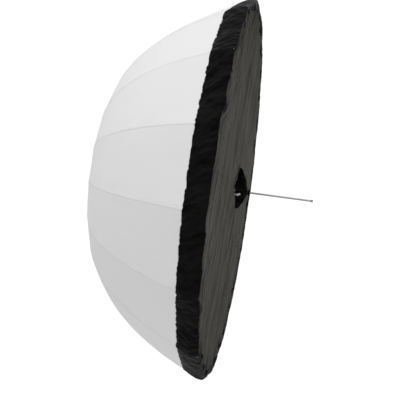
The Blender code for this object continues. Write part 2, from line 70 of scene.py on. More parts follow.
class Socket:
    """A shader value; arithmetic on it adds the Math nodes that work it out."""

    def __init__(self, graph: "Graph", link: bpy.types.NodeSocket) -> None:
        """Keep the graph and the socket that holds the value."""
        self.graph = graph
        self.link = link

    def math(self, operation: str, *others: "Socket | float") -> "Socket":
        """Put the value through one Math node.

        Args:
            operation: The Math node's operation.
            others: Its second and third inputs.

        Returns:
            What comes out.
        """
        values = dict(enumerate((self, *others)))
        return self.graph.add("ShaderNodeMath", {"operation": operation}, values)

    def _swapped(self, operation: str, other: float) -> "Socket":
        """Put a number and then the value through one Math node."""
        return self.graph.add("ShaderNodeMath", {"operation": operation}, {0: other, 1: self})

    def __add__(self, other: "Socket | float") -> "Socket":
        """Add."""
        return self.math("ADD", other)

    def __sub__(self, other: "Socket | float") -> "Socket":
        """Subtract."""
        return self.math("SUBTRACT", other)

    def __rsub__(self, other: float) -> "Socket":
        """Subtract the value from a number."""
        return self._swapped("SUBTRACT", other)

    def __mul__(self, other: "Socket | float") -> "Socket":
        """Multiply."""
        return self.math("MULTIPLY", other)

    def __truediv__(self, other: "Socket | float") -> "Socket":
        """Divide."""
        return self.math("DIVIDE", other)

    __radd__ = __add__
    __rmul__ = __mul__


class Graph:
    """The node tree of one material or world, built up by one method."""

    def __init__(self, owner: bpy.types.Material | bpy.types.World) -> None:
        """Start with an empty node tree.

        Args:
            owner: What the nodes are for.
        """
        owner.use_nodes = True
        self.tree = owner.node_tree
        self.tree.nodes.clear()

    def add(
        self,
        kind: str,
        settings: dict[str, object] | None = None,
        values: dict[str | int, object] | None = None,
        output: str | int = 0,
    ) -> Socket:
        """Add one node.

        Args:
            kind: The node's type.
            settings: Its own settings, which are set first.
            values: A number, colour or Socket for each named or numbered input.
            output: The output that is wanted.

        Returns:
            That output.
        """
        node = self.tree.nodes.new(kind)
        for key, value in (settings or {}).items():
            setattr(node, key, value)
        for key, value in (values or {}).items():
            if isinstance(value, Socket):
                self.tree.links.new(value.link, node.inputs[key])
            else:
                node.inputs[key].default_value = value
        return Socket(self, node.outputs[output])

    def point(self) -> Socket:
        """The point on the object, in metres."""
        return self.add("ShaderNodeTexCoord", output="Object")

    def cut(self) -> Socket:
        """The point on the flat cloth, in metres, from the piece's own UV map."""
        return self.add("ShaderNodeUVMap", {"uv_map": "cut"})

    def stretched(self, place: Socket, scale: tuple[float, float, float]) -> Socket:
        """A point with each axis scaled."""
        return self.add("ShaderNodeMapping", values={"Vector": place, "Scale": scale})

    def ridges(self, place: Socket, fold: "Fold") -> Socket:
        """Crests of folds, from 0 in a hollow to 1 on a crest.

        Args:
            place: The point on the flat cloth.
            fold: Their spacing and direction.

        Returns:
            The height of the folds.
        """
        values = {
            "Vector": place,
            "Rotation": (0.0, 0.0, fold.slant),
            "Scale": (1.0 / fold.across, 1.0 / fold.along, 1.0),
        }
        turned = self.add("ShaderNodeMapping", {"vector_type": "TEXTURE"}, values)
        values = {"Vector": turned, "Scale": 1.0, "Detail": 2.0, "Distortion": fold.waver}
        soft = self.add("ShaderNodeTexNoise", values=values)
        away = (soft - 0.5).math("ABSOLUTE")
        return (1.0 - fold.crispness * away).math("MAXIMUM", 0.0)

    def grain(self, place: Socket, scale: float, detail: float = 3.0) -> Socket:
        """Soft noise from 0 to 1, with scale features to the metre."""
        values = {"Vector": place, "Scale": scale, "Detail": detail}
        return self.add("ShaderNodeTexNoise", values=values)

    def blend(self, share: Socket | float, first: Colour, second: Colour) -> Socket:
        """Mix two colours by a share."""
        values = {"Factor": share, 6: (*first, 1.0), 7: (*second, 1.0)}
        return self.add("ShaderNodeMix", {"data_type": "RGBA"}, values, output=2)

    def bump(self, height: Socket, depth: float) -> Socket:
        """A normal bent by a height that spans depth metres."""
        return self.add("ShaderNodeBump", values={"Height": height, "Distance": depth})

    def finish(self, shader: Socket, output: str = "ShaderNodeOutputMaterial") -> None:
        """Connect the shader to the output node."""
        end = self.tree.nodes.new(output)
        self.tree.links.new(shader.link, end.inputs["Surface"])


# ---- finishes


@dataclass(frozen=True)
class Metal:
    """Drawn and plated steel with draw lines along X and rubbed patches, counted to the metre."""

    name: str
    colour: Colour
    roughness: float = 0.25
    metallic: float = 1.0
    lines: float = 900.0
    line_ends: float = 12.0
    line_depth: float = 0.00004
    patches: float = 45.0
    wear: float = 0.72

    def shader(self, graph: Graph) -> Socket:
        """Build the steel.

        Args:
            graph: Where its nodes go.

        Returns:
            Its shader.
        """
        point = graph.point()
        drawn = graph.grain(graph.stretched(point, (self.line_ends, self.lines, self.lines)), 1.0, 2.0)
        rubbed = graph.grain(point, self.patches)
        worn = tuple(self.wear * part for part in self.colour)
        values = {
            "Base Color": graph.blend(rubbed, worn, self.colour),
            "Metallic": self.metallic,
            "Roughness": self.roughness + 0.12 * rubbed + 0.08 * drawn,
            "Normal": graph.bump(drawn, self.line_depth),
        }
        return graph.add("ShaderNodeBsdfPrincipled", values=values)


@dataclass(frozen=True)
class Moulded:
    """Moulded plastic or a painted coat: fine orange peel, handling marks, dust in the low spots."""

    name: str
    colour: Colour
    roughness: float = 0.45
    peel: float = 1400.0
    coat: float = 0.0
    peel_depth: float = 0.00006
    marks: float = 60.0
    dust: float = 0.006

    def shader(self, graph: Graph) -> Socket:
        """Build the plastic.

        Args:
            graph: Where its nodes go.

        Returns:
            Its shader.
        """
        point = graph.point()
        peel = graph.grain(point, self.peel, 2.0)
        handled = graph.grain(point, self.marks)
        dusty = tuple(min(1.0, 1.5 * part + self.dust) for part in self.colour)
        values = {
            "Base Color": graph.blend(handled, self.colour, dusty),
            "Roughness": self.roughness + 0.14 * handled,
            "Coat Weight": self.coat,
            "Normal": graph.bump(peel, self.peel_depth),
        }
        return graph.add("ShaderNodeBsdfPrincipled", values=values)


@dataclass(frozen=True)
class Fold:
    """One family of folds in a cloth.

    Attributes:
        across: How many folds there are to the metre.
        along: How often a fold ends, to the metre.
        slant: The folds' slant from the cloth's length, in radians.
        depth: How high a crest stands, in metres.
        weight: How much a crest is painted lighter and a hollow darker in the colour, as painted
            highlight and painted shade.
        crispness: How narrow a crest is.
        waver: How much a fold wanders.
    """

    across: float
    along: float
    slant: float
    depth: float
    weight: float
    crispness: float = 5.0
    waver: float = 0.4


@dataclass(frozen=True)
class Woven:
    """Woven cloth: a plain weave, slubs along both threads, broad soft creases and folds, with painted
    highlight on the fold crests and painted shade in their hollows.

    Attributes:
        colour: Its colour where slubs and creases run high, which on a fold's crest is also a painted
            highlight.
        low_tone_and_painted_shade: Its colour where slubs and creases run low, which in a fold's hollow
            is also painted shade.
        glow: The share of light that passes through it.
        crease: How deep a soft crease is, in metres.
        crease_scale: Creases to the metre, across and along.
        threads: Threads to the metre, times pi.
        gloss: How much its surface mirrors.
        painted_shade_falloff: How much darker it is painted one metre above and below its middle, as
            painted shade.
        weave, slub: How high a thread and a slub stand, as a share of a crease.
        slub_scale: Slubs to the metre, across and along.
    """

    name: str
    colour: Colour
    low_tone_and_painted_shade: Colour
    roughness: float = 0.7
    sheen: float = 0.0
    glow: float = 0.0
    crease: float = 0.0015
    crease_scale: tuple[float, float] = (14.0, 14.0)
    threads: float = 1600.0
    metallic: float = 0.0
    gloss: float = 0.5
    folds: tuple[Fold, ...] = ()
    painted_shade_falloff: float = 0.0
    weave: float = 0.012
    slub: float = 0.05
    slub_scale: tuple[float, float] = (260.0, 26.0)

    def shader(self, graph: Graph) -> Socket:
        """Build the cloth.

        Args:
            graph: Where its nodes go.

        Returns:
            Its shader.
        """
        cut = graph.cut()
        across = graph.add("ShaderNodeSeparateXYZ", values={0: cut}, output="X")
        along = graph.add("ShaderNodeSeparateXYZ", values={0: cut}, output="Y")
        warp = (across * self.threads).math("SINE")
        weft = (along * self.threads).math("SINE")
        slub = graph.grain(graph.stretched(cut, (*self.slub_scale, 1.0)), 1.0, 3.0)
        soft = graph.grain(graph.stretched(cut, (*self.crease_scale, 1.0)), 1.0, 4.0)
        share = 0.55 * soft + 0.45 * slub
        height = self.crease * (soft + self.weave * warp * weft + self.slub * slub)
        for fold in self.folds:
            crest = graph.ridges(cut, fold)
            height = height + fold.depth * crest
            # Painted highlight and shade: each fold's crest is painted lighter and its hollow darker.
            share = share * (1.0 - fold.weight) + fold.weight * crest
        normal = graph.bump(height, 1.0)
        # Painted shade: the colour is painted darker towards the cloth's top and bottom.
        share = share * (1.0 - self.painted_shade_falloff * along * along)
        tint = graph.blend(share, self.low_tone_and_painted_shade, self.colour)
        values = {
            "Base Color": tint,
            "Roughness": self.roughness + 0.12 * (soft - 0.5),
            "Metallic": self.metallic,
            "Specular IOR Level": self.gloss,
            "Sheen Weight": self.sheen,
            "Sheen Roughness": 0.4,
            "Normal": normal,
        }
        shader = graph.add("ShaderNodeBsdfPrincipled", values=values)
        if self.glow > 0.0:
            through = graph.add("ShaderNodeBsdfTranslucent", values={"Color": tint, "Normal": normal})
            shader = graph.add("ShaderNodeMixShader", values={0: self.glow, 1: shader, 2: through})
        return shader


class Finish(Enum):
    """Every finish on the umbrella; the value builds it."""

    SHAFT = Metal("shaft_steel", (0.48, 0.48, 0.49), 0.24)
    WIRE = Metal("pivot_wire_steel", (0.45, 0.45, 0.46), 0.35)
    SPRING = Metal("catch_spring_steel", (0.33, 0.34, 0.37), 0.3)
    STRETCHER = Metal("stretcher_black_steel", (0.035, 0.035, 0.037), 0.4, 0.65)
    RIB = Moulded("rib_fibreglass", (0.02, 0.02, 0.021), 0.32, 700.0, 0.2)
    HUB = Moulded("hub_plastic", (0.018, 0.018, 0.019), 0.45)
    RUNNER = Moulded("runner_plastic", (0.022, 0.022, 0.023), 0.42)
    CROWN = Moulded("crown_plastic", (0.02, 0.02, 0.021), 0.36)
    END_CAP = Moulded("end_cap_plastic", (0.30, 0.30, 0.305), 0.45)
    TOGGLE = Moulded("toggle_plastic", (0.012, 0.012, 0.013), 0.34)
    CANOPY = Woven(
        "white_diffusion_weave", (0.94, 0.94, 0.94), (0.91, 0.91, 0.91), 0.75, glow=0.08, crease=0.0009
    )
    SEAM = Woven("white_seam_weave", (0.89, 0.89, 0.895), (0.84, 0.84, 0.85), glow=0.08, crease=0.0004)
    # The face's folds are painted lighter on their crests and darker in their hollows, and the face is
    # painted darker towards its top and bottom, as painted highlight and shade.
    FACE = Woven(
        "black_face_weave",
        (0.110, 0.107, 0.092),
        (0.006, 0.006, 0.005),
        0.8,
        sheen=0.03,
        crease=0.003,
        crease_scale=(9.0, 3.0),
        gloss=0.04,
        folds=(Fold(11.0, 1.4, -0.3, 0.008, 0.6, 6.0), Fold(27.0, 2.8, -0.2, 0.0025, 0.38, 6.0)),
        painted_shade_falloff=0.6,
    )
    # The band's folds are painted lighter on their crests and darker in their hollows, as painted
    # highlight and shade.
    BAND = Woven(
        "black_band_weave",
        (0.0105, 0.0105, 0.0102),
        (0.0002, 0.0002, 0.0002),
        0.36,
        crease=0.002,
        crease_scale=(34.0, 16.0),
        gloss=0.016,
        folds=(Fold(15.0, 5.5, 0.45, 0.008, 0.55, 5.5), Fold(40.0, 9.0, 0.65, 0.0012, 0.25, 6.0)),
    )
    SILVER = Woven("silver_lining_weave", (0.62, 0.62, 0.63), (0.5, 0.5, 0.51), 0.34, metallic=0.85)
    LABEL = Woven("label_satin", (0.96, 0.96, 0.96), (0.92, 0.92, 0.92), 0.45, glow=0.15, crease=0.0003)

    @property
    def material(self) -> bpy.types.Material:
        """The finish's material, made once.

        Returns:
            The material.
        """
        material = bpy.data.materials.get(self.value.name)
        if material is None:
            material = bpy.data.materials.new(self.value.name)
            graph = Graph(material)
            graph.finish(self.value.shader(graph))
        return material


# ---- cloth swept round the shaft


@dataclass(frozen=True)
class Sector:
    """A stretch of angle round the shaft, half to either side of its centre."""

    centre: float
    half: float
    columns: int

    @property
    def whole(self) -> bool:
        """Whether it goes all the way round."""
        return self.half > math.pi - 1e-6

    def near(self, angle: float) -> float:
        """The same angle, written next to the sector's centre."""
        return self.centre + math.remainder(angle - self.centre, math.tau)

    def angles(self) -> list[float]:
        """Each column's angle."""
        step = 2 * self.half / self.columns
        return [self.centre - self.half + step * column for column in range(self.columns + 1)]


def evenly(count: int, first: float = 0.0, last: float = 1.0) -> list[float]:
    """Stations with equal steps, both ends included."""
    return [first + (last - first) * step / (count - 1) for step in range(count)]


def smooth(low: float, high: float, value: float) -> float:
    """A soft step from 0 at low to 1 at high."""
    share = min(1.0, max(0.0, (value - low) / (high - low)))
    return share * share * (3 - 2 * share)


def drape(point: Vector, across: float, along: float, seed: float) -> float:
    """Noise with more features across a hanging cloth than down it, from about -1 to 1."""
    return noise.noise(Vector((across * point.y, along * point.z, seed)))


@dataclass(frozen=True)
class Waves:
    """Uneven waves round the shaft.

    Attributes:
        count: About how many waves go round.
        seed: Which pattern.
        changes: How often they change along the cloth.
    """

    count: float
    seed: float
    changes: float = 0.0

    def at(self, angle: float, station: float = 0.0) -> float:
        """Their height at one place.

        Args:
            angle: The angle round the shaft.
            station: How far along the cloth.

        Returns:
            A height from about -1 to 1.
        """
        reach = self.count / math.tau
        along = self.changes * station + 7.3 * self.seed
        place = Vector((reach * math.cos(angle) + self.seed, reach * math.sin(angle), along))
        return 1.6 * noise.noise(place)

    def crests(self, angle: float, station: float, crispness: float = 2.0) -> float:
        """Narrow crests up to 1 with hollows between them."""
        return 1.0 - abs(self.at(angle, station)) * crispness


def smooth_mesh(build: bmesh.types.BMesh, name: str) -> bpy.types.Mesh:
    """Turn what was built into a smooth-shaded mesh.

    Args:
        build: What was built, which is freed.
        name: The mesh's name.

    Returns:
        The mesh.
    """
    mesh = bpy.data.meshes.new(name)
    build.to_mesh(mesh)
    build.free()
    mesh.shade_smooth()
    return mesh


@dataclass
class Swept:
    """A sheet whose shape is a rule of station and angle.

    Attributes:
        name: The piece's name.
        place: Gives a point from a station and an angle.
        stations: The rows, from one edge of the cloth to the other.
        sector: The columns.
        inside: A point behind the sheet, which faces away from it.
        cut_scale: Metres of cloth to one radian and to one station, for the weave.
        straight: Whether the weave runs straight across the whole sheet, along Y and Z.
    """

    name: str
    place: Place
    stations: Sequence[float]
    sector: Sector
    inside: Vector
    cut_scale: tuple[float, float]
    straight: bool = False

    def mesh(self) -> bpy.types.Mesh:
        """Spin a straight line into a tube, lay out the weave and move each point to its place.

        Returns:
            The sheet's mesh.
        """
        build = bmesh.new()
        start = self.sector.centre - self.sector.half
        line = [build.verts.new((s, math.cos(start), math.sin(start))) for s in self.stations]
        edges = [build.edges.new(pair) for pair in zip(line, line[1:])]
        bmesh.ops.spin(
            build,
            geom=line + edges,
            cent=(0.0, 0.0, 0.0),
            axis=(1.0, 0.0, 0.0),
            angle=2 * self.sector.half,
            steps=self.sector.columns,
            use_merge=self.sector.whole,
        )
        self._lay_weave(build)
        for vertex in build.verts:
            angle = self.sector.near(math.atan2(vertex.co.z, vertex.co.y))
            vertex.co = self.place(vertex.co.x, angle)
        if self.straight:
            layer = build.loops.layers.uv["cut"]
            for face in build.faces:
                for loop in face.loops:
                    loop[layer].uv = (loop.vert.co.y, loop.vert.co.z)
        build.normal_update()
        outward = sum(
            face.normal.dot(face.calc_center_median() - self.inside) * face.calc_area()
            for face in build.faces
        )
        if outward < 0:
            bmesh.ops.reverse_faces(build, faces=build.faces)
        return smooth_mesh(build, self.name)

    def _lay_weave(self, build: bmesh.types.BMesh) -> None:
        """Write each corner's place on the flat cloth into the UV map.

        Args:
            build: The tube, before its points are moved.
        """
        layer = build.loops.layers.uv.new("cut")
        for face in build.faces:
            centre = face.calc_center_median()
            middle = self.sector.near(math.atan2(centre.z, centre.y))
            for loop in face.loops:
                point = loop.vert.co
                angle = middle + math.remainder(math.atan2(point.z, point.y) - middle, math.tau)
                loop[layer].uv = (angle * self.cut_scale[0], point.x * self.cut_scale[1])

    def even_normals(self, mesh: bpy.types.Mesh) -> None:
        """Shade the sheet by its rule, so that it runs on into the next sheet without a line.

        Args:
            mesh: The sheet's mesh.
        """
        layer = mesh.uv_layers["cut"].uv
        normals = [Vector((0.0, 0.0, 1.0))] * len(mesh.loops)
        for polygon in mesh.polygons:
            places = [
                (layer[i].vector[0] / self.cut_scale[0], layer[i].vector[1] / self.cut_scale[1])
                for i in polygon.loop_indices
            ]
            middle = sum(angle for angle, _ in places) / len(places)
            for i, (angle, station) in zip(polygon.loop_indices, places):
                normal = self._normal(station, angle + 0.05 * (middle - angle))
                normals[i] = normal if normal.dot(polygon.normal) > 0 else -normal
        mesh.normals_split_custom_set(normals)

    def _normal(self, station: float, angle: float) -> Vector:
        """The rule's own normal.

        Args:
            station: The row.
            angle: The column.

        Returns:
            The normal, on either side of the sheet.
        """
        step = 1e-3
        along = self.place(station + step, angle) - self.place(station - step, angle)
        across = self.place(station, angle + step) - self.place(station, angle - step)
        return along.cross(across).normalized()

    def cut_size(self) -> tuple[float, float]:
        """Measure the size that the cloth is cut to.

        Returns:
            Its widest row and its longest column.
        """
        angles = self.sector.angles()
        some = angles[:: max(1, len(angles) // 6)]
        rows = [[self.place(s, a) for a in angles] for s in self.stations]
        columns = [[self.place(s, a) for s in self.stations] for a in some]
        return max(map(path_length, rows)), max(map(path_length, columns))


def path_length(points: Sequence[Vector]) -> float:
    """Length of the line through the points."""
    return sum((after - before).length for before, after in zip(points, points[1:]))


def add_piece(
    name: str,
    mesh: bpy.types.Mesh,
    body: str,
    slot: str,
    *finishes: Finish,
) -> bpy.types.Object:
    """Link a mesh as a piece and report it.

    Args:
        name: The piece's name.
        mesh: Its mesh, in place.
        body: The body that it rides on.
        slot: The record's material slot; not used.
        finishes: The finish of each material index.

    Returns:
        The piece.
    """
    piece = bpy.data.objects.new(name, mesh)
    bpy.context.scene.collection.objects.link(piece)
    for finish in finishes:
        mesh.materials.append(finish.material)
    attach(piece, body)
    LOG.info("%s rides on %s", name, body)
    return piece


def declare_sheet(
    piece: bpy.types.Object,
    size: tuple[float, float],
    trims: Sequence[bpy.types.Object] = (),
) -> None:
    """Work out a piece of cloth's area, no larger than the size that it is cut to; the area is not
    kept.

    Args:
        piece: The cloth.
        size: Width and length of the cut.
        trims: Pieces sewn to it; not used.
    """
    area = sum(polygon.area for polygon in piece.data.polygons)
    area = min(area, size[0] * size[1])


def give_wall(piece: bpy.types.Object, wall: float, back: int = 0) -> None:
    """Give an open sheet its thickness inwards.

    Args:
        piece: The sheet.
        wall: The thickness.
        back: The material index of its back.
    """
    solid = piece.modifiers.new("wall", "SOLIDIFY")
    solid.thickness = wall
    solid.offset = -1.0
    solid.material_offset = back


# ---- the dome


@dataclass(frozen=True)
class Dome:
    """The shape that the ribs give the cloth.

    Attributes:
        rim_radius: From the shaft to a rib's tip.
        rim_x: Where the rim lies along the shaft.
        apex_x: Where the cloth meets the crown.
        rib_angles: Each rib's angle.
        power: How flat the crown is.
        rounding: How square the shoulder is.
        ease: How much closer the rows lie towards the rim.
    """

    rim_radius: float
    rim_x: float
    apex_x: float
    rib_angles: tuple[float, ...]
    power: float = 3.4
    rounding: float = 1.1
    ease: float = 0.86

    @classmethod
    def from_frame(cls) -> "Dome":
        """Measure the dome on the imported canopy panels.

        Returns:
            The dome.
        """
        names = sorted(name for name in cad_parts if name.startswith("canopy_panel"))
        tips = []
        for name in names:
            points = [vertex.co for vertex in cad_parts[name].data.vertices]
            tips.append(max(points, key=lambda point: math.hypot(point.y, point.z)))
        apex = min(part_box(name)[0].x for name in names)
        radius = max(math.hypot(tip.y, tip.z) for tip in tips)
        angles = tuple(math.atan2(tip.z, tip.y) for tip in tips)
        return cls(radius, max(tip.x for tip in tips), apex, angles)

    @property
    def half_gore(self) -> float:
        """Half the angle from rib to rib."""
        return math.pi / len(self.rib_angles)

    def x_at(self, radius: float) -> float:
        """X of the cloth over a rib, at a distance from the shaft."""
        full = 1.0 - min(1.0, max(0.0, radius / self.rim_radius)) ** self.power
        return self.rim_x - (self.rim_x - self.apex_x) * full ** (1.0 / self.rounding)

    def along(self, station: float) -> tuple[float, float]:
        """Point (x, radius) over a rib; the station is 0 at the shaft and 1 at the rim."""
        radius = self.rim_radius * math.sin(min(1.0, max(0.0, station)) * math.pi / 2) ** self.ease
        return self.x_at(radius), radius

    def out_of(self, station: float) -> tuple[float, float]:
        """The outward direction over a rib.

        Args:
            station: From 0 at the shaft to 1 at the rim.

        Returns:
            Its parts along the shaft and away from it.
        """
        step = 2e-3
        x0, r0 = self.along(max(0.0, station - step))
        x1, r1 = self.along(min(1.0, station + step))
        length = math.hypot(x1 - x0, r1 - r0) or 1.0
        return -(r1 - r0) / length, (x1 - x0) / length

    def across(self, angle: float) -> float:
        """Where an angle lies in its gore, from 0 on one rib to 1 on the next."""
        return ((angle - self.rib_angles[0]) / (2 * self.half_gore)) % 1.0

    def chord(self, angle: float, station: float = 1.0) -> float:
        """How far in a gore lies between its ribs: straight at the rim, fuller inside it.

        Args:
            angle: The angle round the shaft.
            station: From 0 at the shaft to 1 at the rim.

        Returns:
            The share of the radius that is left.
        """
        off = (self.across(angle) - 0.5) * 2 * self.half_gore
        straight = math.cos(self.half_gore) / math.cos(off)
        return 1.0 - (1.0 - straight) * (0.5 + 0.5 * smooth(0.55, 0.9, station))


# ---- the white canopy


@dataclass(frozen=True)
class Strip:
    """A stretch of the canopy and how narrow it gathers when the umbrella closes."""

    first: float
    last: float
    rows: int
    keep: float


@dataclass
class Canopy:
    """White cloth of sixteen gores, sewn together along the ribs and hemmed at the rim.

    Attributes:
        cloth_length: From the shaft to the rim along the cloth, nearly.
        sag: How far it sinks in the middle of a gore.
        clear: How far the trim stands off it.
        pucker: How far the stitching puckers it.
        slack: How far it is slack between the ribs.
    """

    dome: Dome
    strips: tuple[Strip, ...] = (
        Strip(0.006, 0.34, 22, 0.70),
        Strip(0.34, 0.60, 18, 0.62),
        Strip(0.60, 0.80, 16, 0.52),
        Strip(0.80, 1.0, 18, 0.42),
    )
    columns: int = 16
    cloth_length: float = 0.95
    sag: float = 0.001
    clear: float = 0.0002
    stitch: float = 0.00015
    stitches: float = 900.0
    pucker: float = 0.0005
    puckers: Waves = Waves(330, 3.1, 26)
    slack: float = 0.0006
    slacks: Waves = Waves(46, 1.7, 5)
    seam_half_width: float = 0.0032
    seam_lift: float = 0.0005
    hem_width: float = 0.012
    hem_lift: float = 0.0012
    patch_lift: float = 0.0011
    patch_radius: float = 0.052
    inside: Vector = field(default_factory=lambda: Vector((-0.3, 0.0, 0.0)))

    def point(self, station: float, angle: float, lift: float = 0.0) -> Vector:
        """A point on the cloth, lifted off it by a distance.

        Args:
            station: From 0 at the shaft to 1 at the rim.
            angle: The angle round the shaft.
            lift: The distance.

        Returns:
            The point.
        """
        x, radius = self.dome.along(station)
        out_x, out_radius = self.dome.out_of(station)
        share = self.dome.across(angle)
        hollow = 4 * share * (1 - share)
        width = radius / self.dome.rim_radius
        pucker = self.pucker * self.puckers.at(angle, station) * (1 - hollow) * smooth(0.0, 0.3, width)
        slack = self.slack * self.slacks.at(angle, station) * hollow
        lift += pucker + slack - self.sag * hollow * width
        radius = radius * self.dome.chord(angle, station) + out_radius * lift
        return Vector((x + out_x * lift, radius * math.cos(angle), radius * math.sin(angle)))

    def build(self) -> None:
        """Make every gore, seam and hem, and the patch at the crown."""
        for index, angle in enumerate(self.dome.rib_angles, start=1):
            self._petal(index, angle)
        self._patch()
        LOG.info("canopy: %d gores in %d strips each", len(self.dome.rib_angles), len(self.strips))

    def _petal(self, index: int, angle: float) -> None:
        """The cloth over one rib, out to the middle of the gore on both sides.

        Args:
            index: The rib's number.
            angle: The rib's angle.
        """
        body = f"rib_arm_{index:02d}"
        node = f"canopy_panel_{index:02d}"
        sector = Sector(angle, self.dome.half_gore, self.columns)
        seam = self._seam(index, angle, body)
        hem = self._hem(index, sector, body)
        for letter, strip in zip("abcdefgh", self.strips):
            name = f"canopy_cloth_{index:02d}{letter}"
            stations = evenly(strip.rows, strip.first, strip.last)
            cloth = Swept(name, self.point, stations, sector, self.inside, (self.dome.rim_radius, 1.1))
            mesh = cloth.mesh()
            cloth.even_normals(mesh)
            piece = add_piece(name, mesh, body, "canopy_cloth", Finish.CANOPY)
            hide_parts(node)
            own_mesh(piece)
            trims = [seam, hem] if strip is self.strips[-1] else []
            declare_sheet(piece, cloth.cut_size(), trims)
        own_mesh(hem)

    def _seam(self, index: int, angle: float, body: str) -> bpy.types.Object:
        """The felled seam that stands on the cloth over one rib.

        Args:
            index: The rib's number.
            angle: The rib's angle.
            body: The rib's body.

        Returns:
            The seam.
        """
        half = 0.1

        def place(station: float, turned: float) -> Vector:
            """A point on the seam.

            Args:
                station: Along the seam.
                turned: Across it, between half on either side.

            Returns:
                The point.
            """
            share = (turned - angle) / half
            radius = max(self.dome.along(station)[1], 0.01)
            stitched = self.stitch * math.cos(self.stitches * station)
            lift = self.seam_lift * (1 - share**4) + stitched * (1 - share * share) + self.clear
            return self.point(station, angle + share * self.seam_half_width / radius, lift)

        name = f"canopy_seam_{index:02d}"
        stations = evenly(90, 0.05, 0.998)
        sweep = Swept(name, place, stations, Sector(angle, half, 6), self.inside, (0.06, 1.1))
        return add_piece(name, sweep.mesh(), body, "canopy_cloth", Finish.SEAM)

    def _hem(self, index: int, sector: Sector, body: str) -> bpy.types.Object:
        """The cloth turned in along the rim.

        Args:
            index: The rib's number.
            sector: The gore's stretch of angle.
            body: The rib's body.

        Returns:
            The hem.
        """
        width = self.hem_width / self.cloth_length

        def place(turn: float, angle: float) -> Vector:
            """A point on the hem, which runs from a half at its inner edge to 1 at the rim."""
            lift = -self.hem_lift * smooth(0.5, 0.625, turn) - self.clear
            return self.point(1.0 - 2.0 * width * (1.0 - turn), angle, lift)

        name = f"canopy_hem_{index:02d}"
        sweep = Swept(name, place, evenly(9, 0.5, 1.0), sector, self.inside, (0.8, 0.02))
        return add_piece(name, sweep.mesh(), body, "canopy_cloth", Finish.SEAM)

    def _patch(self) -> None:
        """The round reinforcing patch under the crown cap."""

        def place(station: float, angle: float) -> Vector:
            """A point on the patch.

            Args:
                station: From 0 at the shaft to 1 at its edge.
                angle: The angle round the shaft.

            Returns:
                The point.
            """
            share = station * self.patch_radius / self.dome.rim_radius
            turned = math.asin(share ** (1 / self.dome.ease)) * 2 / math.pi
            lift = self.patch_lift * (1 - smooth(0.93, 1.0, station)) + 0.0003
            return self.point(turned, angle, lift)

        whole = Sector(0.0, math.pi, 96)
        sweep = Swept("crown_patch", place, evenly(10, 0.16, 1.0), whole, self.inside, (0.05, 0.05))
        piece = add_piece("crown_patch", sweep.mesh(), "shaft_assembly", "canopy_cloth", Finish.SEAM)
        size = 2 * self.patch_radius
        declare_sheet(piece, (size, size))


# ---- the black front cover


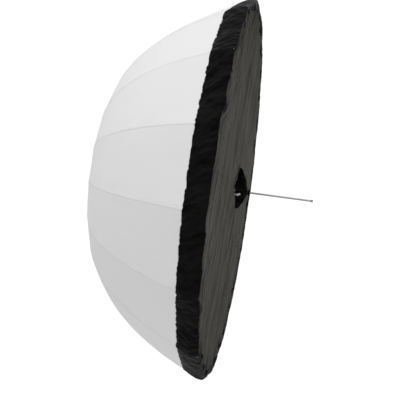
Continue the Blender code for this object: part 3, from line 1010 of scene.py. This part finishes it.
@dataclass
class FrontCover:
    """Slip-on cover: a gathered elastic band round the rim, a flat face and a sleeve on the shaft.

    Attributes:
        wedges: How many wedges the band and the face are shown in.
        gathered: How narrow a wedge gets when the umbrella closes; not used.
        border_share: The border's share of the rim's radius.
        tied_at: The station of the sleeve's neck.
    """

    dome: Dome
    wedges: int = 32
    gathered: float = 0.33
    wall: float = 0.0006
    band_reach: float = 0.089
    band_front: float = 0.002
    band_bend: float = 0.006
    band_wander: Waves = Waves(40, 1.9, 1)
    band_pulls: Waves = Waves(118, 5.2, 1.4)
    band_creases: Waves = Waves(260, 7.7, 2.6)
    band_swells: Waves = Waves(52, 2.4, 1.2)
    frills: Waves = Waves(420, 9.1)
    back_edge: Waves = Waves(110, 4.4)
    border: Waves = Waves(70, 6.6)
    lobes: Waves = Waves(60, 2.8)
    border_share: float = 0.962
    face_dip: float = 0.002
    face_gathers: Waves = Waves(84, 8.3, 2.4)
    face_rays: Waves = Waves(26, 6.1, 1.2)
    sleeve_lift: float = 0.012
    sleeve_narrow: float = 0.42
    sleeve_rise: float = 0.006
    sleeve_pleats: int = 19
    pleat_drift: Waves = Waves(12, 3.3, 0.8)
    sleeve_creases: Waves = Waves(44, 7.7, 3.4)
    sleeve_crush: Waves = Waves(15, 4.9, 4.5)
    tied_at: float = 0.84
    neck: float = 0.0078
    tie_radius: float = 0.0016
    label_width: float = 0.008
    label_span: tuple[float, float] = (0.03, 0.47)
    label_angle: float = math.pi + 0.34
    inside: Vector = field(default_factory=lambda: Vector((-0.42, 0.0, 0.0)))

    def __post_init__(self) -> None:
        """Read the sleeve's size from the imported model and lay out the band's path over a rib."""
        low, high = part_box("cover_collar")
        self.sleeve_height = (high.z - low.z) / 2
        self.sleeve_length = high.x - low.x
        self.face_x = self.dome.rim_x - self.face_dip
        self.path = self._band_path()
        lengths = [0.0]
        for before, after in zip(self.path, self.path[1:]):
            lengths.append(lengths[-1] + (after - before).length)
        self.lengths = lengths

    def _band_path(self) -> list[Vector]:
        """Lay the band from its back edge, round the rim and in over the front.

        Returns:
            Points (x, radius) over a rib.
        """
        dome = self.dome
        back = dome.rim_x - self.band_reach
        outside = [Vector(dome.along(s)) for s in evenly(400, 0.5, 1.0)]
        line = [point for point in outside if point.x > back][::4]
        bend = self.band_bend
        front = dome.rim_x + self.band_front
        for turn in evenly(8, 0.0, math.pi / 2):
            x = dome.rim_x + self.band_front * math.sin(turn)
            line.append(Vector((x, dome.rim_radius - bend + bend * math.cos(turn))))
        last = Vector((self.face_x, dome.rim_radius * self.border_share))
        start = Vector((front, dome.rim_radius - bend))
        line += [start.lerp(last, share) for share in evenly(14)[1:]]
        return line

    def _on_path(self, station: float) -> tuple[Vector, Vector]:
        """Find a place on the band's path.

        Args:
            station: The share of its width.

        Returns:
            The point and the outward direction, both as (x, radius).
        """
        goal = min(1.0, max(0.0, station)) * self.lengths[-1]
        k = 0
        while k < len(self.lengths) - 2 and self.lengths[k + 1] < goal:
            k += 1
        before, after = self.path[k], self.path[k + 1]
        share = (goal - self.lengths[k]) / max(1e-9, self.lengths[k + 1] - self.lengths[k])
        low = self.path[max(0, k - 2)]
        high = self.path[min(len(self.path) - 1, k + 3)]
        run = (high - low).normalized()
        return before.lerp(after, share), Vector((-run.y, run.x))

    def band_point(self, station: float, angle: float) -> Vector:
        """A point on the gathered band.

        Args:
            station: From 0 at its back edge to 1 at its border with the face.
            angle: The angle round the shaft.

        Returns:
            The point.
        """
        point, out = self._on_path(station)
        share = min(1.0, max(0.0, station))
        full = math.sin(math.pi * share) ** 0.6 * (1.0 - 0.75 * smooth(0.5, 0.8, share))
        slant = angle - 0.05 * station + 0.02 * self.band_wander.at(angle, station)
        pull = self.band_pulls.crests(slant, station)
        fold = self.band_creases.crests(slant, station, 1.8)
        broad = self.band_swells.at(angle - 0.06 * station, station)
        frill = self.frills.at(angle)
        at_back = math.exp(-share / 0.07)
        at_front = smooth(0.8, 1.0, share)
        lift = 0.0018 + 0.0042 * full + full * (0.0036 * pull + 0.0014 * fold + 0.0026 * broad)
        lift += 0.0012 * frill * at_back + 0.0014 * at_front
        point = point + out * max(lift, 0.0008)
        run = Vector((out.y, -out.x))
        point = point - run * (0.0016 * frill + 0.0024 * self.back_edge.at(angle)) * at_back
        point = point + run * self._border(angle) * at_front
        point.x += self._lobe(angle) * smooth(0.7, 1.0, share)
        radius = point.y * self.dome.chord(angle)
        return Vector((point.x, radius * math.cos(angle), radius * math.sin(angle)))

    def _bulge(self, angle: float) -> float:
        """From 0 where the face pulls on the border to 1 half way between."""
        return math.sin(len(self.dome.rib_angles) * (angle - self.dome.rib_angles[0])) ** 2

    def _border(self, angle: float) -> float:
        """How far the band's border bulges in between the points where the face pulls on it."""
        return 0.009 * (self._bulge(angle) - 0.5) + 0.0045 * self.border.at(angle)

    def _lobe(self, angle: float) -> float:
        """How far the border stands forward between the points where the face pulls on it."""
        uneven = 0.35 + 0.65 * smooth(-0.6, 0.6, -math.cos(angle))
        return uneven * (0.021 * (self._bulge(angle) - 0.5) + 0.009 * self.lobes.at(angle))

    def _sleeve_loop(self, angle: float, share: float) -> Vector:
        """A point on the sleeve's upright oval seam with the face.

        Args:
            angle: The angle round the shaft.
            share: How wide open it is; it is drawn in towards 0.

        Returns:
            The point, at x = 0.
        """
        tall = self.sleeve_height * share
        wide = tall * (self.sleeve_narrow + (1 - self.sleeve_narrow) * (1 - share) ** 2)
        lift = self.sleeve_lift * smooth(0.0, 0.8, share)
        return Vector((0.0, wide * math.cos(angle), tall * math.sin(angle) + lift))

    def _pulled(self, reach: float) -> float:
        """How far the tied sleeve pulls the face forward, at a distance from the sleeve."""
        return self.sleeve_rise * math.exp(-reach / 0.07)

    def _drawn_in(self, point: Vector) -> float:
        """Depth of the upright folds that the tied sleeve draws into the face above and below it.

        Args:
            point: A point on the face.

        Returns:
            The depth there.
        """
        beyond = abs(point.z - self.sleeve_lift) - self.sleeve_height
        fold = math.exp(-((point.y / 0.026) ** 2)) - 0.6 * math.exp(-(((point.y + 0.062) / 0.03) ** 2))
        return 0.02 * fold * math.exp(-(((beyond - 0.01) / 0.055) ** 2))

    def face_point(self, station: float, angle: float) -> Vector:
        """A point on the face.

        Args:
            station: From 0 at the sleeve to 1 under the band's border.
            angle: The angle round the shaft.

        Returns:
            The point.
        """
        inner = self._sleeve_loop(angle, 1.0)
        reach = (self.dome.rim_radius * self.border_share + 0.015) * self.dome.chord(angle)
        outer = Vector((0.0, math.cos(angle), math.sin(angle))) * reach
        point = inner.lerp(outer, station)
        off = (point - inner).length
        near_sleeve = math.exp(-off / 0.1)
        near_band = math.exp(-(1 - station) / 0.16)
        hung = 1.0 - 2.0 * abs(drape(point, 9.0, 2.1, 3.7))
        small = 1.0 - 2.2 * abs(drape(point, 23.0, 5.5, 8.1))
        sway = drape(point, 4.2, 1.3, 5.9)
        gather = self.face_gathers.crests(angle + 0.04 * station, station)
        radial = 1.0 - 3.0 * self.face_rays.at(angle, station) ** 2
        height = 0.0042 * hung + 0.0017 * small + 0.006 * sway
        height *= 1.0 - 0.7 * near_band
        height += 0.0034 * gather * near_band + 0.004 * radial * near_sleeve
        height -= self._drawn_in(point)
        under = smooth(0.965, 1.0, station)
        point.x = self.face_x + height * (1 - under) + self._pulled(off) - 0.003 * under
        point.x += self._lobe(angle) * smooth(0.80, 1.0, station)
        return point

    def sleeve_point(self, station: float, angle: float) -> Vector:
        """A point on the gathered sleeve.

        Args:
            station: From 0 at the face to 1 at the edge of the frill beyond the tie.
            angle: The angle round the shaft.

        Returns:
            The point.
        """
        rise = min(1.0, max(0.0, station) / self.tied_at)
        full = 1 - rise**2.3
        loop = self._sleeve_loop(angle, full)
        out = Vector((0.0, math.cos(angle), math.sin(angle)))
        pleat = math.cos(self.sleeve_pleats * angle + 2.4 * self.pleat_drift.at(angle, rise))
        crease = self.sleeve_creases.crests(angle, rise)
        crush = self.sleeve_crush.at(angle, rise)
        swell = math.sin(math.pi * (0.08 + 0.92 * rise)) ** 0.7
        lift = (0.0042 * pleat + 0.0034 * crease + 0.005 * crush) * swell * (0.3 + 0.7 * full)
        lift += 0.001 * pleat * (1 - full)
        frill = smooth(self.tied_at, 1.0, station)
        lift += frill * (0.006 + 0.003 * math.cos(9 * angle))
        point = loop + out * (self.neck * rise + lift)
        point.x = self.face_x + self.sleeve_rise - 0.003 + 0.004 * crush * swell * (1 - rise)
        point.x += (self.sleeve_length - self.sleeve_rise) * station
        return point

    def build(self) -> None:
        """Make the band and the face in wedges, and the sleeve with its trim."""
        half = math.pi / self.wedges
        first = self.dome.rib_angles[0] + half
        for index in range(self.wedges):
            angle = first + 2 * half * index
            self._band(index + 1, Sector(angle, half, 48))
            self._face(index + 1, Sector(angle, half, 20))
        self._sleeve()
        LOG.info("front cover: %d wedges of band and face", self.wedges)

    def _wedge(self, sweep: Swept, node: str, finish: Finish, lining: Finish) -> None:
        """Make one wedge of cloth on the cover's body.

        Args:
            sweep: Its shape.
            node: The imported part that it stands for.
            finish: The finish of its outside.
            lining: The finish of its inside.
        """
        piece = add_piece(sweep.name, sweep.mesh(), "cover", f"{node}_cloth", finish, lining)
        give_wall(piece, self.wall, 1)
        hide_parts(node)
        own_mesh(piece)
        declare_sheet(piece, sweep.cut_size())

    def _band(self, index: int, sector: Sector) -> None:
        """Make one wedge of the elastic band.

        Args:
            index: The wedge's number.
            sector: Its stretch of angle.
        """
        name = f"cover_band_cloth_{index:02d}"
        scale = (self.dome.rim_radius, self.lengths[-1])
        sweep = Swept(name, self.band_point, evenly(22), sector, self.inside, scale)
        self._wedge(sweep, "cover_band", Finish.BAND, Finish.BAND)

    def _face(self, index: int, sector: Sector) -> None:
        """Make one wedge of the flat face.

        Args:
            index: The wedge's number.
            sector: Its stretch of angle.
        """
        name = f"cover_face_cloth_{index:02d}"
        sweep = Swept(name, self.face_point, evenly(34), sector, self.inside, (0.5, 0.64), True)
        self._wedge(sweep, "cover_face", Finish.FACE, Finish.SILVER)

    def _sleeve(self) -> None:
        """The sleeve that closes on the shaft, with its label and tie."""
        whole = Sector(0.0, math.pi, 360)
        base = Vector((self.face_x, 0.0, self.sleeve_lift))
        sweep = Swept("cover_sleeve", self.sleeve_point, evenly(40), whole, base, (0.08, 0.12))
        sleeve = add_piece("cover_sleeve", sweep.mesh(), "cover", "cover_band_cloth", Finish.BAND)
        give_wall(sleeve, self.wall)
        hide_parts("cover_collar")
        declare_sheet(sleeve, sweep.cut_size(), [self._tie(), self._label()])

    def _tie(self) -> bpy.types.Object:
        """The elastic that draws the sleeve in at its neck.

        Returns:
            The elastic.
        """
        thick = self.tie_radius
        x = self.sleeve_point(self.tied_at, 0.0).x
        build = bmesh.new()
        place = Matrix.Translation((x, self.neck + 1.6 * thick, 0.0))
        ring = bmesh.ops.create_circle(build, segments=10, radius=thick, matrix=place)["verts"]
        edges = list({edge for vertex in ring for edge in vertex.link_edges})
        bmesh.ops.spin(
            build,
            geom=ring + edges,
            cent=(x, 0.0, 0.0),
            axis=(1.0, 0.0, 0.0),
            angle=math.tau,
            steps=64,
            use_merge=True,
        )
        for vertex in build.verts:
            vertex.co.x += 0.4 * thick * math.sin(3 * math.atan2(vertex.co.z, vertex.co.y))
        bmesh.ops.recalc_face_normals(build, faces=build.faces)
        mesh = smooth_mesh(build, "sleeve_tie")
        return add_piece("sleeve_tie", mesh, "cover", "toggle", Finish.TOGGLE)

    def _label(self) -> bpy.types.Object:
        """A plain woven label sewn to the sleeve's near side, along the shaft.

        Returns:
            The label.
        """
        first, last = self.label_span
        half = 0.1

        def place(across: float, angle: float) -> Vector:
            """A point on the label.

            Args:
                across: Across its width.
                angle: Along its length, between half on either side of pi.

            Returns:
                The point.
            """
            share = (angle - math.pi + half) / (2 * half)
            station = first + (last - first) * share
            turned = self.label_angle + (0.5 - across) * self.label_width / self.sleeve_height
            curl = 0.0012 * math.cos(9.0 * share) + 0.0015 * share**4
            return self.sleeve_point(station, turned) + Vector((0.0, -0.0055 - curl, 0.0))

        behind = Vector((-0.2, 0.2, 0.0))
        sector = Sector(math.pi, half, 16)
        sweep = Swept("sleeve_label", place, evenly(5), sector, behind, (0.15, 0.008))
        label = add_piece("sleeve_label", sweep.mesh(), "cover", "cover_band_cloth", Finish.LABEL)
        give_wall(label, self.wall)
        return label


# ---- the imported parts


@dataclass(frozen=True)
class Hardware:
    """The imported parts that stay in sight, each with its finish."""

    finishes: tuple[tuple[str, Finish], ...] = (
        ("shaft_end_cap", Finish.END_CAP),
        ("shaft", Finish.SHAFT),
        ("rib_hub", Finish.HUB),
        ("hub_wire", Finish.WIRE),
        ("runner_wire", Finish.WIRE),
        ("crown_cap", Finish.CROWN),
        ("runner", Finish.RUNNER),
        ("catch_spring", Finish.SPRING),
        ("collar_toggle", Finish.TOGGLE),
        ("stretcher_", Finish.STRETCHER),
        ("rib_", Finish.RIB),
    )

    def finish_of(self, node: str) -> Finish | None:
        """The finish of the first name that the node's name starts with."""
        return next((finish for start, finish in self.finishes if node.startswith(start)), None)

    def dress(self) -> None:
        """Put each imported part's finish in its material slots."""
        for node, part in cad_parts.items():
            finish = self.finish_of(node)
            if finish is None:
                continue
            if not part.material_slots:
                part.data.materials.append(finish.material)
            for slot in part.material_slots:
                slot.material = finish.material
            LOG.info("%s is dressed in %s", node, finish.value.name)


# ---- studio


@dataclass
class Studio:
    """Camera, pale floor and soft light.

    Attributes:
        aim_right, aim_up: Where the camera looks, from the rim's middle.
        surround: The light's strength from straight down to straight up.
        backdrop: The strength of the white that the camera sees.
    """

    azimuth: float = math.radians(8.076)
    roll: float = math.radians(7.743)
    distance: float = 3.773
    lens: float = 77.3
    aim_right: float = -0.148
    aim_up: float = -0.041
    rim_x: float = -0.243
    floor_z: float = -1.24
    floor_reach: float = 1.3
    floor_fade: float = 0.8
    surround: tuple[float, float] = (0.54, 0.84)
    backdrop: float = 1.05
    key_size: tuple[float, float] = (4.0, 3.0)
    key_energy: float = 38.0
    key_place: Vector = field(default_factory=lambda: Vector((-1.6, -2.2, 3.4)))
    key_aim: Vector = field(default_factory=lambda: Vector((-0.4, 0.0, 0.0)))

    def build(self) -> None:
        """Set up the whole studio."""
        self._camera()
        self._world()
        self._lights()
        self._floor()
        bpy.context.scene.view_settings.view_transform = "Standard"

    def _camera(self) -> None:
        """A long lens level with the shaft, rolled a little."""
        right = Vector((math.cos(self.azimuth), math.sin(self.azimuth), 0.0))
        back = Vector((math.sin(self.azimuth), -math.cos(self.azimuth), 0.0))
        up = Vector((0.0, 0.0, 1.0))
        side = math.cos(self.roll) * right + math.sin(self.roll) * up
        top = math.cos(self.roll) * up - math.sin(self.roll) * right
        aim = Vector((self.rim_x, 0.0, 0.0)) + self.aim_right * side + self.aim_up * top
        data = bpy.data.cameras.new("studio_camera")
        data.lens = self.lens
        data.sensor_width = 36.0
        camera = bpy.data.objects.new("studio_camera", data)
        bpy.context.scene.collection.objects.link(camera)
        turn = Matrix((side, top, back)).transposed().to_4x4()
        camera.matrix_world = Matrix.Translation(aim + self.distance * back) @ turn
        bpy.context.scene.camera = camera

    def _world(self) -> None:
        """White to look at, and a soft graded surround to light by."""
        world = bpy.data.worlds.new("studio_surround")
        bpy.context.scene.world = world
        graph = Graph(world)
        point = graph.add("ShaderNodeTexCoord", output="Generated")
        height = graph.add("ShaderNodeSeparateXYZ", values={0: point}, output="Z")
        low, high = self.surround
        values = {"Value": height, "From Min": -1.0, "From Max": 1.0, "To Min": low, "To Max": high}
        strength = graph.add("ShaderNodeMapRange", values=values)
        white = (1.0, 1.0, 1.0, 1.0)
        values = {"Color": white, "Strength": strength}
        soft = graph.add("ShaderNodeBackground", values=values)
        values = {"Color": white, "Strength": self.backdrop}
        behind = graph.add("ShaderNodeBackground", values=values)
        seen = graph.add("ShaderNodeLightPath", output="Is Camera Ray")
        choice = graph.add("ShaderNodeMixShader", values={0: seen, 1: soft, 2: behind})
        graph.finish(choice, "ShaderNodeOutputWorld")

    def _lights(self) -> None:
        """One large soft key above the near side."""
        data = bpy.data.lights.new("soft_key", "AREA")
        data.shape = "RECTANGLE"
        data.size, data.size_y = self.key_size
        data.energy = self.key_energy
        key = bpy.data.objects.new("soft_key", data)
        bpy.context.scene.collection.objects.link(key)
        key.location = self.key_place
        key.rotation_mode = "QUATERNION"
        key.rotation_quaternion = (self.key_aim - self.key_place).to_track_quat("-Z", "Y")

    def _floor(self) -> None:
        """A round of pale floor that fades into the white sweep."""
        paint = bpy.data.materials.new("studio_floor")
        graph = Graph(paint)
        point = graph.point()
        shade = graph.blend(graph.grain(point, 0.8), (0.88, 0.88, 0.88), (0.91, 0.91, 0.91))
        away = graph.add("ShaderNodeVectorMath", {"operation": "LENGTH"}, {0: point}, "Value")
        solid = (self.floor_reach - away) / self.floor_fade
        solid = solid.math("MINIMUM", 1.0).math("MAXIMUM", 0.0)
        values = {"Base Color": shade, "Roughness": 0.9, "Alpha": solid}
        graph.finish(graph.add("ShaderNodeBsdfPrincipled", values=values))
        build = bmesh.new()
        bmesh.ops.create_circle(build, cap_ends=True, segments=96, radius=self.floor_reach)
        mesh = smooth_mesh(build, "studio_floor")
        mesh.materials.append(paint)
        floor = bpy.data.objects.new("studio_floor", mesh)
        bpy.context.scene.collection.objects.link(floor)
        floor.location = (self.rim_x, 0.0, self.floor_z)


def main() -> None:
    """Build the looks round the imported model, one sub-assembly after another."""
    logging.basicConfig(level=logging.INFO, format="%(message)s")
    Studio().build()
    dome = Dome.from_frame()
    Hardware().dress()
    Canopy(dome).build()
    FrontCover(dome).build()


if __name__ == "__main__":
    main()
